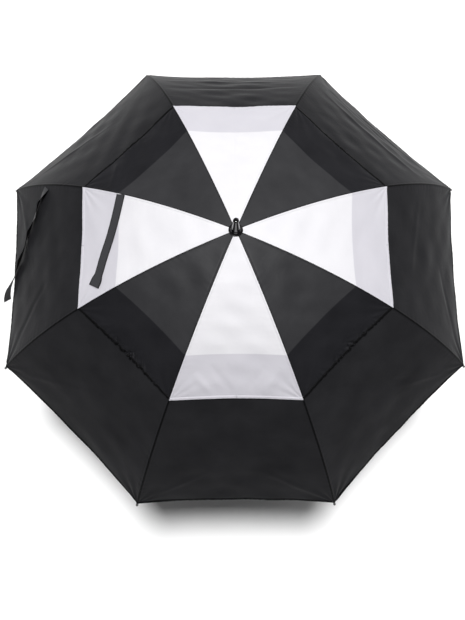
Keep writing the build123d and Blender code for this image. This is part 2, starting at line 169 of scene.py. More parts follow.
@dataclass(frozen=True)
class PongeeCloth(Finish):
    """Woven polyester pongee: tight plain weave, matt, with light showing through when it is pale."""

    roughness: float
    see_through: float = 0.0      # share of the light that comes through from behind
    shine: float = 0.5
    thread_pitch: float = 1.6 * MM  # the real threads lie 0.25 mm apart, too fine to show
    thread_depth: float = 0.04 * MM
    dye_per_metre: float = 9.0    # broad clouds of uneven dye
    crumple_size: float = 38 * MM
    crumple_depth: float = 0.5 * MM
    seam_shade_tone: float = 1.0        # how dark the painted shade in the folded seams beside the ribs is
    seam_shade_width: float = 2.6 * MM
    shade_behind_arc: float = 0.0      # beyond this arc a dark layer lies behind; the darker colour there is painted shade for the light it keeps from coming through
    # the colour that the painted shade multiplies in beyond that arc
    shade_behind_colour: str = "#ffffff"

    def surface(self, tree: Tree) -> Socket:
        """Draw the cloth, on its own UV map in metres."""
        flat = add_node(tree, "ShaderNodeUVMap", uv_map="cloth").outputs["UV"]
        thread_in = {"Vector": flat, "Scale": WAVE_PERIOD / self.thread_pitch}
        threads = [add_node(tree, "ShaderNodeTexWave", thread_in, bands_direction=way) for way in "XY"]
        warp, weft = (wave.outputs["Fac"] for wave in threads)
        weave = add_node(tree, MATH, {0: warp, 1: weft}, operation="MAXIMUM").outputs[0]
        crumple_in = {"Vector": flat, "Scale": 1 / self.crumple_size, "Detail": 3.0, "Distortion": 1.2}
        crumple = add_node(tree, NOISE, crumple_in)
        creases_in = {"Height": crumple.outputs["Fac"], "Distance": self.crumple_depth, "Strength": 1.0}
        creases = add_node(tree, BUMP, creases_in).outputs[0]
        woven_in = {"Height": weave, "Distance": self.thread_depth, "Normal": creases}
        woven = add_node(tree, BUMP, woven_in).outputs[0]
        colour = self.dye_and_thread_shade(tree, flat, weave)
        # Painted shade where another layer lies behind the cloth.
        if self.shade_behind_arc:
            colour = self.paint_shade_behind(tree, flat, colour)
        # Painted shade along the seams beside the ribs.
        if self.seam_shade_tone < 1:
            colour = self.paint_seam_shade(tree, flat, colour)
        face_in = {
            "Base Color": colour, "Roughness": self.roughness, "Normal": woven,
            "IOR": 1.5, "Specular IOR Level": self.shine,
        }
        face = add_node(tree, "ShaderNodeBsdfPrincipled", face_in).outputs[0]
        if not self.see_through:
            return face
        back = add_node(tree, "ShaderNodeBsdfTranslucent", {"Color": colour, "Normal": creases}).outputs[0]
        return add_node(tree, "ShaderNodeMixShader", {0: self.see_through, 1: face, 2: back}).outputs[0]

    def dye_and_thread_shade(self, tree: Tree, flat: Socket, weave: Socket) -> Socket:
        """Mix the two colours by the uneven dye and the threads' shadows, which are painted shade."""
        cloud_in = {"Vector": flat, "Scale": self.dye_per_metre, "Detail": 4.0, "Roughness": 0.55}
        cloud = add_node(tree, NOISE, cloud_in).outputs["Fac"]
        tone = add_node(tree, MAP_RANGE, {"Value": cloud, 1: 0.3, 2: 0.7, 3: 0.0, 4: 0.75}).outputs[0]
        # Painted shade between the threads, added to the dye's clouds.
        grain = add_node(tree, MATH, {0: weave, 1: -0.25, 2: 0.25}, operation="MULTIPLY_ADD").outputs[0]
        total = add_node(tree, MATH, {0: tone, 1: grain}, operation="ADD", use_clamp=True).outputs[0]
        mixed_in = {"Factor": total, 6: srgb(self.colour), 7: srgb(self.shade)}
        return add_node(tree, MIX, mixed_in, data_type="RGBA").outputs[2]

    def paint_shade_behind(self, tree: Tree, flat: Socket, colour: Socket) -> Socket:
        """Darken the cloth beyond the arc where another layer lies behind it: painted shade for the light that
        layer keeps from coming through.
        """
        arc = add_node(tree, SEPARATE, {0: flat}).outputs["Y"]
        low, high = self.shade_behind_arc - 1 * MM, self.shade_behind_arc + 1 * MM
        # Painted shade mask: none before the arc, full beyond it.
        behind = add_node(tree, MAP_RANGE, {"Value": arc, 1: low, 2: high}).outputs[0]
        shade_behind_in = {"Factor": behind, 6: colour, 7: srgb(self.shade_behind_colour)}
        return add_node(tree, MIX, shade_behind_in, data_type="RGBA", blend_type="MULTIPLY").outputs[2]

    def paint_seam_shade(self, tree: Tree, flat: Socket, colour: Socket) -> Socket:
        """Darken a narrow line beside each rib, where the gores are sewn together: painted shade in the seam's
        fold.
        """
        place = add_node(tree, SEPARATE, {0: flat})
        turn = add_node(tree, MATH, {0: place.outputs["Y"], 1: DOME_RADIUS}, operation="DIVIDE").outputs[0]
        reach = add_node(tree, MATH, {0: turn}, operation="SINE").outputs[0]
        widest = DOME_RADIUS * sin(HALF_GORE)
        half = add_node(tree, MATH, {0: reach, 1: widest}, operation="MULTIPLY").outputs[0]
        across = add_node(tree, MATH, {0: place.outputs["X"]}, operation="ABSOLUTE").outputs[0]
        away = add_node(tree, MATH, {0: half, 1: across}, operation="SUBTRACT").outputs[0]
        fade_in = {"Value": away, 1: 0.4 * MM, 2: self.seam_shade_width, 3: self.seam_shade_tone, 4: 1.0}
        fade = add_node(tree, MAP_RANGE, fade_in).outputs[0]
        seam_shade_in = {"Factor": 1.0, 6: colour, 7: fade}
        return add_node(tree, MIX, seam_shade_in, data_type="RGBA", blend_type="MULTIPLY").outputs[2]


@dataclass(frozen=True)
class MouldedPlastic(Finish):
    """Injection-moulded plastic: an even colour with faint mould texture, duller where it is handled."""

    roughness: float
    grain_size: float = 0.7 * MM
    grain_depth: float = 0.01 * MM
    flow_per_metre: float = 60.0
    coat: float = 0.0

    def surface(self, tree: Tree) -> Socket:
        """Draw the plastic, on Object coordinates."""
        place = add_node(tree, "ShaderNodeTexCoord").outputs["Object"]
        flow, colour = self.mottled(tree, place, self.flow_per_metre, 3.0)
        grain = add_node(tree, NOISE, {"Vector": place, "Scale": 1 / self.grain_size, "Detail": 2.0})
        dull_in = {"Value": flow, 1: 0.3, 2: 0.7, 3: self.roughness * 0.85, 4: self.roughness * 1.2}
        dull = add_node(tree, MAP_RANGE, dull_in)
        bump = add_node(tree, BUMP, {"Height": grain.outputs["Fac"], "Distance": self.grain_depth})
        face_in = {
            "Base Color": colour, "Roughness": dull.outputs[0], "Normal": bump.outputs[0],
            "IOR": 1.53, "Coat Weight": self.coat, "Coat Roughness": 0.08,
        }
        return add_node(tree, "ShaderNodeBsdfPrincipled", face_in).outputs[0]


@dataclass(frozen=True)
class PultrudedRod(Finish):
    """Pultruded fibreglass rod: satin black with fine glass strands running its length."""

    roughness: float
    strand_width: float = 0.5 * MM
    strand_depth: float = 0.01 * MM
    strand_stretch: float = 25.0  # how many times longer than wide a strand looks

    def surface(self, tree: Tree) -> Socket:
        """Draw the rod, with strands drawn out along Z on Object coordinates."""
        place = add_node(tree, "ShaderNodeTexCoord").outputs["Object"]
        drawn_in = {"Vector": place, "Scale": (1.0, 1.0, 1 / self.strand_stretch)}
        drawn = add_node(tree, "ShaderNodeMapping", drawn_in)
        strands, colour = self.mottled(tree, drawn.outputs[0], 1 / self.strand_width, 3.0)
        bump = add_node(tree, BUMP, {"Height": strands, "Distance": self.strand_depth})
        face_in = {"Base Color": colour, "Roughness": self.roughness, "Normal": bump.outputs[0], "IOR": 1.52}
        return add_node(tree, "ShaderNodeBsdfPrincipled", face_in).outputs[0]


@dataclass(frozen=True)
class FoamRubber(Finish):
    """Closed-cell EVA foam: matt, with fine open pores in its skin."""

    pore: float = 0.8 * MM
    pore_depth: float = 0.12 * MM
    wear_per_metre: float = 45.0

    def surface(self, tree: Tree) -> Socket:
        """Draw the foam, on Object coordinates."""
        place = add_node(tree, "ShaderNodeTexCoord").outputs["Object"]
        pores = add_node(tree, "ShaderNodeTexVoronoi", {"Vector": place, "Scale": 1 / self.pore})
        colour = self.mottled(tree, place, self.wear_per_metre, 4.0)[1]
        bump = add_node(tree, BUMP, {"Height": pores.outputs["Distance"], "Distance": self.pore_depth})
        face_in = {"Base Color": colour, "Roughness": 0.88, "Normal": bump.outputs[0], "IOR": 1.48}
        return add_node(tree, "ShaderNodeBsdfPrincipled", face_in).outputs[0]


@dataclass(frozen=True)
class DrawnSteel(Finish):
    """Drawn and tempered steel: bright, with a few dull patches."""

    roughness: float
    patches_per_metre: float = 260.0

    def surface(self, tree: Tree) -> Socket:
        """Draw the steel, on Object coordinates."""
        place = add_node(tree, "ShaderNodeTexCoord").outputs["Object"]
        patches, colour = self.mottled(tree, place, self.patches_per_metre, 4.0)
        dull_in = {"Value": patches, 1: 0.3, 2: 0.7, 3: self.roughness * 0.8, 4: self.roughness * 1.5}
        dull = add_node(tree, MAP_RANGE, dull_in)
        face_in = {"Base Color": colour, "Roughness": dull.outputs[0], "Metallic": 1.0}
        return add_node(tree, "ShaderNodeBsdfPrincipled", face_in).outputs[0]


@dataclass(frozen=True)
class NylonWebbing(Finish):
    """Woven nylon tape: ribbed across its length, slightly furry, with painted shade along its turned edges."""

    rib_pitch: float = 2.4 * MM   # the real ribs lie 0.8 mm apart, too fine to show
    rib_depth: float = 0.12 * MM
    loop_depth: float = 0.1 * MM
    loops_per_metre: float = 420.0
    shaded_selvedge: float = 8.4 * MM    # from the middle to the turned, stitched edge, where the painted shade begins

    def surface(self, tree: Tree) -> Socket:
        """Draw the tape, on its own UV map in metres."""
        flat = add_node(tree, "ShaderNodeUVMap", uv_map="cloth").outputs["UV"]
        ribs_in = {"Vector": flat, "Scale": WAVE_PERIOD / self.rib_pitch, "Distortion": 0.6, "Detail": 1.0}
        ribs = add_node(tree, "ShaderNodeTexWave", ribs_in, bands_direction="Y")
        across = add_node(tree, SEPARATE, {0: flat}).outputs["X"]
        away = add_node(tree, MATH, {0: across}, operation="ABSOLUTE")
        # Painted shade along the turned edges.
        shaded_selvedge_in = {"Value": away.outputs[0], 1: self.shaded_selvedge, 2: self.shaded_selvedge + 1 * MM, 3: 1.0, 4: 0.3}
        shaded_selvedge = add_node(tree, MAP_RANGE, shaded_selvedge_in)
        fuzz, woven = self.mottled(tree, flat, self.loops_per_metre, 3.0)
        edge_shaded_in = {"Factor": 1.0, 6: woven, 7: shaded_selvedge.outputs[0]}
        colour = add_node(tree, MIX, edge_shaded_in, data_type="RGBA", blend_type="MULTIPLY").outputs[2]
        tape = add_node(tree, BUMP, {"Height": ribs.outputs["Fac"], "Distance": self.rib_depth})
        loops_in = {"Height": fuzz, "Distance": self.loop_depth, "Normal": tape.outputs[0]}
        loops = add_node(tree, BUMP, loops_in)
        face_in = {
            "Base Color": colour, "Roughness": 0.72, "Normal": loops.outputs[0],
            "Sheen Weight": 0.06, "Sheen Roughness": 0.5, "IOR": 1.53, "Specular IOR Level": 0.25,
        }
        return add_node(tree, "ShaderNodeBsdfPrincipled", face_in).outputs[0]


class Slot(str, Enum):
    """The record's material slots."""

    SHAFT = "shaft_fibreglass"
    HANDLE = "handle_foam"
    FERRULE = "ferrule_plastic"
    CAP = "cap_plastic"
    CROWN = "crown_nylon"
    WIRE = "wire"
    RUNNER = "runner_nylon"
    CATCH = "catch_steel"
    RIB = "rib_fibreglass"
    STRETCHER = "stretcher_fibreglass"
    TIP = "tip_plastic"
    WHITE = "canopy_white"
    BLACK = "canopy_black"
    STRAP = "strap_black"


FINISHES = {
    Slot.SHAFT: PultrudedRod("fibreglass_tube_satin", "#141416", "#26262a", 0.3),
    Slot.HANDLE: FoamRubber("eva_foam_grip", "#151516", "#232325"),
    Slot.FERRULE: MouldedPlastic("abs_ferrule_polished", "#060607", "#0a0a0c", 0.1, coat=0.2),
    Slot.CAP: MouldedPlastic("abs_cap_polished", "#060607", "#0b0b0c", 0.12),
    Slot.CROWN: MouldedPlastic("nylon_crown_moulded", "#161618", "#222225", 0.42),
    Slot.WIRE: DrawnSteel("steel_wire_drawn", "#c4c6ca", "#8d8f94", 0.24),
    Slot.RUNNER: MouldedPlastic("nylon_runner_moulded", "#131315", "#1f1f22", 0.38),
    Slot.CATCH: DrawnSteel("spring_steel_strip", "#b6b9be", "#7c7f85", 0.3),
    Slot.RIB: PultrudedRod("fibreglass_rib", "#121214", "#24242a", 0.38),
    Slot.STRETCHER: PultrudedRod("fibreglass_stretcher", "#141417", "#26262c", 0.36),
    Slot.TIP: MouldedPlastic("pp_rib_tip_moulded", "#0b0b0d", "#17171a", 0.26),
    # The white's slight darkening beyond LOWER_START is painted shade where the black layer lies behind.
    Slot.WHITE: PongeeCloth(
        "pongee_white", "#edecef", "#e6e5e9", 0.62, see_through=0.22,
        crumple_depth=0.35 * MM, shade_behind_arc=LOWER_START, shade_behind_colour="#ebeaee"),
    # The black cloth's darkened seams are painted shade.
    Slot.BLACK: PongeeCloth("pongee_black", "#29292b", "#1d1d1f", 0.42, shine=0.03, seam_shade_tone=0.25),
    Slot.STRAP: NylonWebbing("nylon_webbing_black", "#29292c", "#3a3a3d"),
}
# A darker copy of the black cloth for the black hems and their stitches: painted shade.
BLACK_HEM_SHADED = replace(FINISHES[Slot.BLACK], name="pongee_black_hem", colour="#121213", shade="#0c0c0d")
# A lighter copy of the black cloth for the upper gores: painted light for what comes through the single layer,
# with painted shade beyond LOWER_START where the lower canopy lies behind.
BLACK_UPPER_LIT_AND_SHADED = replace(
    FINISHES[Slot.BLACK], name="pongee_black_upper", colour="#38383a", shade="#29292b", shine=0.06,
    shade_behind_arc=LOWER_START, shade_behind_colour="#aeaeb4")


@dataclass
class Wardrobe:
    """Builds each finish once, the first time it is asked for."""

    made: dict[Finish, bpy.types.Material] = field(default_factory=dict)

    def get(self, finish: Finish) -> bpy.types.Material:
        """Return a finish's material."""
        if finish not in self.made:
            self.made[finish] = finish.build()
        return self.made[finish]


# ---- geometry helpers ----
def turn_about_shaft(points: np.ndarray, angle: float) -> np.ndarray:
    """Turn points about the shaft.

    Args:
        points: Any array whose last axis is X, Y and Z.
        angle: Turn in radians, anticlockwise from above.

    Returns:
        The turned points.
    """
    c, s = cos(angle), sin(angle)
    return points @ np.array([[c, s, 0.0], [-s, c, 0.0], [0.0, 0.0, 1.0]])


def unit(vectors: np.ndarray) -> np.ndarray:
    """Scale each vector to a length of one."""
    return vectors / np.maximum(np.linalg.norm(vectors, axis=-1, keepdims=True), 1e-12)


def smooth_step(x: np.ndarray) -> np.ndarray:
    """Rise smoothly from 0 to 1 as x goes from 0 to 1."""
    t = np.clip(x, 0.0, 1.0)
    return t * t * (3 - 2 * t)


def grid_normals(points: np.ndarray) -> np.ndarray:
    """Normals of a grid of points, as rows run outwards and columns run anticlockwise from above."""
    return unit(np.cross(np.gradient(points, axis=0), np.gradient(points, axis=1)))


def new_piece(name: str, points: np.ndarray, faces: Sequence[Sequence[int]], material: bpy.types.Material,
              flat: np.ndarray | None = None, normals: np.ndarray | None = None) -> bpy.types.Object:
    """Make a mesh object from points and faces.

    Args:
        name: The piece's name.
        points: One row for each vertex.
        faces: Vertex numbers of each face.
        material: Its finish.
        flat: Place of each vertex on the cut cloth, for the UV map.
        normals: Smooth normal of each vertex.

    Returns:
        The new object, at the origin.
    """
    mesh = bpy.data.meshes.new(name)
    mesh.from_pydata(points.tolist(), [], [list(f) for f in faces])
    mesh.materials.append(material)
    mesh.polygons.foreach_set("use_smooth", np.ones(len(mesh.polygons), bool))
    if flat is not None:
        corner = np.zeros(len(mesh.loops), np.int32)
        mesh.loops.foreach_get("vertex_index", corner)
        layer = mesh.uv_layers.new(name="cloth")
        layer.data.foreach_set("uv", flat[corner].astype(np.float32).ravel())
    mesh.update()
    if normals is not None:
        mesh.normals_split_custom_set_from_vertices(normals.tolist())
    piece = bpy.data.objects.new(name, mesh)
    bpy.context.scene.collection.objects.link(piece)
    return piece


def grid_faces(rows: int, columns: int, first: int = 0, flip: bool = False) -> list[tuple[int, ...]]:
    """Quads of a grid of vertices stored row by row.

    Args:
        rows: Vertices along the first axis.
        columns: Vertices along the second axis.
        first: Number of the grid's first vertex.
        flip: Turn the faces over.

    Returns:
        The vertex numbers of each quad.
    """
    quads = []
    for r in range(rows - 1):
        for c in range(columns - 1):
            a = first + r * columns + c
            quad = (a, a + columns, a + columns + 1, a + 1)
            quads.append(quad[::-1] if flip else quad)
    return quads


def closed_shell(name: str, middle: np.ndarray, normals: np.ndarray, flat: np.ndarray,
                 half: float | np.ndarray, material: bpy.types.Material) -> bpy.types.Object:
    """Make a thin closed sheet around a grid of points.

    Args:
        name: The piece's name.
        middle: Grid of points halfway through the sheet.
        normals: Normal at each point.
        flat: Place of each point on the cut cloth.
        half: Half of the sheet's thickness, one value or one for each point.
        material: Its finish.

    Returns:
        The new piece.
    """
    rows, columns = middle.shape[:2]
    count = rows * columns
    offset = normals * (half if np.isscalar(half) else half[..., None])
    points = np.concatenate([(middle + offset).reshape(-1, 3), (middle - offset).reshape(-1, 3)])
    faces = grid_faces(rows, columns) + grid_faces(rows, columns, count, flip=True)
    border = list(range(columns))
    border += [r * columns + columns - 1 for r in range(1, rows)]
    border += [(rows - 1) * columns + c for c in range(columns - 2, -1, -1)]
    border += [r * columns for r in range(rows - 2, 0, -1)]
    for a, b in zip(border, border[1:] + border[:1]):
        faces.append((a, b, b + count, a + count))
    both = np.concatenate([flat.reshape(-1, 2)] * 2)
    facing = np.concatenate([normals.reshape(-1, 3), -normals.reshape(-1, 3)])
    return new_piece(name, points, faces, material, both, facing)


# ---- geometry node trees ----
@dataclass
class NodeTool:
    """A Geometry Nodes tree with named inputs, run on an object to make a plain mesh."""

    name: str
    tree: Tree = field(init=False)
    entry: bpy.types.Node = field(init=False)

    def __post_init__(self) -> None:
        """Start the tree with a geometry input."""
        self.tree = bpy.data.node_groups.new(self.name, "GeometryNodeTree")
        self.tree.interface.new_socket("Geometry", in_out="INPUT", socket_type="NodeSocketGeometry")
        self.tree.interface.new_socket("Geometry", in_out="OUTPUT", socket_type="NodeSocketGeometry")
        self.entry = self.tree.nodes.new("NodeGroupInput")

    def sizes(self, kind: str, *names: str) -> list[Socket]:
        """Add named inputs of one kind.

        Args:
            kind: The sockets' type name.
            names: Name of each input.

        Returns:
            The group input's sockets.
        """
        for name in names:
            self.tree.interface.new_socket(name, in_out="INPUT", socket_type=kind)
        return [self.entry.outputs[name] for name in names]

    def end(self, geometry: Socket, material: Socket) -> None:
        """Finish the tree with realized instances and a material.

        Args:
            geometry: What the tree has made.
            material: The finish to put on it.
        """
        real = add_node(self.tree, "GeometryNodeRealizeInstances", {"Geometry": geometry})
        dressed_in = {"Geometry": real.outputs[0], "Material": material}
        done = add_node(self.tree, "GeometryNodeSetMaterial", dressed_in)
        out = self.tree.nodes.new("NodeGroupOutput")
        self.tree.links.new(done.outputs[0], out.inputs[0])

    def run(self, base: bpy.types.Mesh, **values: Any) -> bpy.types.Mesh:
        """Run the tree on a mesh.

        Args:
            base: The mesh that goes in.
            values: Value of each named input, with underscores for spaces.

        Returns:
            The evaluated result as a plain mesh.
        """
        holder = bpy.data.objects.new(self.name + "_holder", base)
        bpy.context.scene.collection.objects.link(holder)
        modifier = holder.modifiers.new(self.name, "NODES")
        modifier.node_group = self.tree
        keys = {s.name: s.identifier for s in self.tree.interface.items_tree if s.in_out == "INPUT"}
        for name, value in values.items():
            modifier[keys[name.replace("_", " ")]] = value
        graph = bpy.context.evaluated_depsgraph_get()
        graph.update()
        mesh = bpy.data.meshes.new_from_object(holder.evaluated_get(graph))
        bpy.data.objects.remove(holder)
        return mesh


CROWDING = 1.35  # above 1, a gore's grid columns lie closer together near the ribs


def crowded_spans(columns: int) -> np.ndarray:
    """Spans of a gore's grid columns, closer together near the ribs."""
    even = np.linspace(-1, 1, columns)
    return np.sign(even) * (1 - (1 - np.abs(even)) ** CROWDING)


def ruled_gore_tool() -> NodeTool:
    """Tree that lays a grid over one gore: curved along the ribs, straight from rib to rib."""
    tool = NodeTool("ruled_gore")
    rows, columns = tool.sizes("NodeSocketInt", "Rows", "Columns")
    start, end, radius, lift, half, centre = tool.sizes(
        "NodeSocketFloat", "Arc Start", "Arc End", "Dome Radius", "Lift", "Half Angle", "Centre Height")
    cloth, = tool.sizes("NodeSocketMaterial", "Cloth")
    tree = tool.tree
    grid_in = {"Size X": 1.0, "Size Y": 1.0, "Vertices X": rows, "Vertices Y": columns}
    grid = add_node(tree, "GeometryNodeMeshGrid", grid_in)
    place = add_node(tree, SEPARATE, {0: add_node(tree, "GeometryNodeInputPosition").outputs[0]})
    arc = add_node(tree, MAP_RANGE, {"Value": place.outputs["X"], 1: -0.5, 2: 0.5, 3: start, 4: end})
    even = add_node(tree, MATH, {0: place.outputs["Y"], 1: 2.0}, operation="MULTIPLY")
    size = add_node(tree, MATH, {0: even.outputs[0]}, operation="ABSOLUTE")
    left = add_node(tree, MATH, {0: 1.0, 1: size.outputs[0]}, operation="SUBTRACT", use_clamp=True)
    drawn = add_node(tree, MATH, {0: left.outputs[0], 1: CROWDING}, operation="POWER")
    crowded = add_node(tree, MATH, {0: 1.0, 1: drawn.outputs[0]}, operation="SUBTRACT")
    side_of = add_node(tree, MATH, {0: even.outputs[0]}, operation="SIGN")
    span = add_node(tree, MATH, {0: crowded.outputs[0], 1: side_of.outputs[0]}, operation="MULTIPLY")
    turn = add_node(tree, MATH, {0: arc.outputs[0], 1: radius}, operation="DIVIDE")
    reach = add_node(tree, MATH, {0: radius, 1: lift}, operation="ADD")
    run_share = add_node(tree, MATH, {0: turn.outputs[0]}, operation="SINE")
    rise_share = add_node(tree, MATH, {0: turn.outputs[0]}, operation="COSINE")
    run = add_node(tree, MATH, {0: reach.outputs[0], 1: run_share.outputs[0]}, operation="MULTIPLY")
    out_share = add_node(tree, MATH, {0: half}, operation="COSINE")
    side_share = add_node(tree, MATH, {0: half}, operation="SINE")
    out = add_node(tree, MATH, {0: run.outputs[0], 1: out_share.outputs[0]}, operation="MULTIPLY")
    edge = add_node(tree, MATH, {0: run.outputs[0], 1: side_share.outputs[0]}, operation="MULTIPLY")
    side = add_node(tree, MATH, {0: edge.outputs[0], 1: span.outputs[0]}, operation="MULTIPLY")
    rise_in = {0: reach.outputs[0], 1: rise_share.outputs[0], 2: centre}
    rise = add_node(tree, MATH, rise_in, operation="MULTIPLY_ADD")
    spot = add_node(tree, "ShaderNodeCombineXYZ", {0: out.outputs[0], 1: side.outputs[0], 2: rise.outputs[0]})
    moved_in = {"Geometry": grid.outputs["Mesh"], "Position": spot.outputs[0]}
    moved = add_node(tree, "GeometryNodeSetPosition", moved_in)
    tool.end(moved.outputs[0], cloth)
    return tool


def stitch_tool() -> NodeTool:
    """Tree that lays short thread stitches end to end along a line of edges."""
    tool = NodeTool("stitch_run")
    pitch, length, thread = tool.sizes("NodeSocketFloat", "Pitch", "Stitch Length", "Thread Radius")
    cloth, = tool.sizes("NodeSocketMaterial", "Thread")
    tree = tool.tree
    curve = add_node(tree, "GeometryNodeMeshToCurve", {"Mesh": tool.entry.outputs["Geometry"]})
    spaced_in = {"Curve": curve.outputs[0], "Length": pitch}
    spaced = add_node(tree, "GeometryNodeResampleCurve", spaced_in, mode="LENGTH")
    stitch = add_node(tree, "GeometryNodeMeshIcoSphere", {"Radius": 1.0, "Subdivisions": 1})
    half = add_node(tree, MATH, {0: length, 1: 0.5}, operation="MULTIPLY")
    size = add_node(tree, "ShaderNodeCombineXYZ", {0: thread, 1: thread, 2: half.outputs[0]})
    along = add_node(tree, "GeometryNodeInputTangent")
    facing = add_node(tree, "FunctionNodeAlignRotationToVector", {"Vector": along.outputs[0]}, axis="Z")
    placed = add_node(tree, "GeometryNodeInstanceOnPoints", {
        "Points": spaced.outputs[0], "Instance": stitch.outputs["Mesh"],
        "Rotation": facing.outputs[0], "Scale": size.outputs[0],
    })
    tool.end(placed.outputs[0], cloth)
    return tool


# ---- the canopy ----
class Half(Enum):
    """The two halves of a gore, each carried by the rib beside it."""

    FIRST = 1
    SECOND = -1


@dataclass(frozen=True)
class Crease:
    """A soft fold across a gore, from one (span, arc) to another. Height is negative for a valley."""

    start: tuple[float, float]
    end: tuple[float, float]
    width: float
    height: float


@dataclass
class Dome:
    """The ribs' common curve, which everything on the canopy is worked out from."""

    radius: float = DOME_RADIUS
    half_gore: float = HALF_GORE
    first_rib_angle: float = -HALF_GORE
    joint_arc: float = 0.350
    centre: float = field(init=False)

    def __post_init__(self) -> None:
        """Find the height of the curve's centre from the first rib's pivot."""
        x, y, z = next(j for j in frame["joints"] if j["name"] == "rib_1_swing")["pos_m"]
        self.centre = z - sqrt(self.radius ** 2 - x * x - y * y)

    def rib_angle(self, rib: int) -> float:
        """Direction of a rib about the shaft."""
        return self.first_rib_angle + 2 * self.half_gore * (rib - 1)

    def gore_angle(self, gore: int) -> float:
        """Direction of a gore's middle about the shaft."""
        return self.rib_angle(gore) + self.half_gore

    def rib_of(self, gore: int, half: Half) -> int:
        """Number of the rib beside one half of a gore."""
        return gore if half is Half.FIRST else gore % RIBS + 1

    def half_width(self, arc: np.ndarray, lift: float) -> np.ndarray:
        """Distance from a gore's middle to its rib at an arc."""
        return (self.radius + lift) * np.sin(arc / self.radius) * sin(self.half_gore)

    def over(self, arc: np.ndarray, span: np.ndarray, lift: np.ndarray | float) -> np.ndarray:
        """Points over a gore centred on the X axis.

        Args:
            arc: Distance along the ribs.
            span: Place between the two ribs.
            lift: Height above the ribs' centre line.

        Returns:
            One point for each arc and span.
        """
        run = (self.radius + lift) * np.sin(arc / self.radius)
        rise = (self.radius + lift) * np.cos(arc / self.radius) + self.centre
        return np.stack([run * cos(self.half_gore), run * sin(self.half_gore) * span, rise], axis=-1)


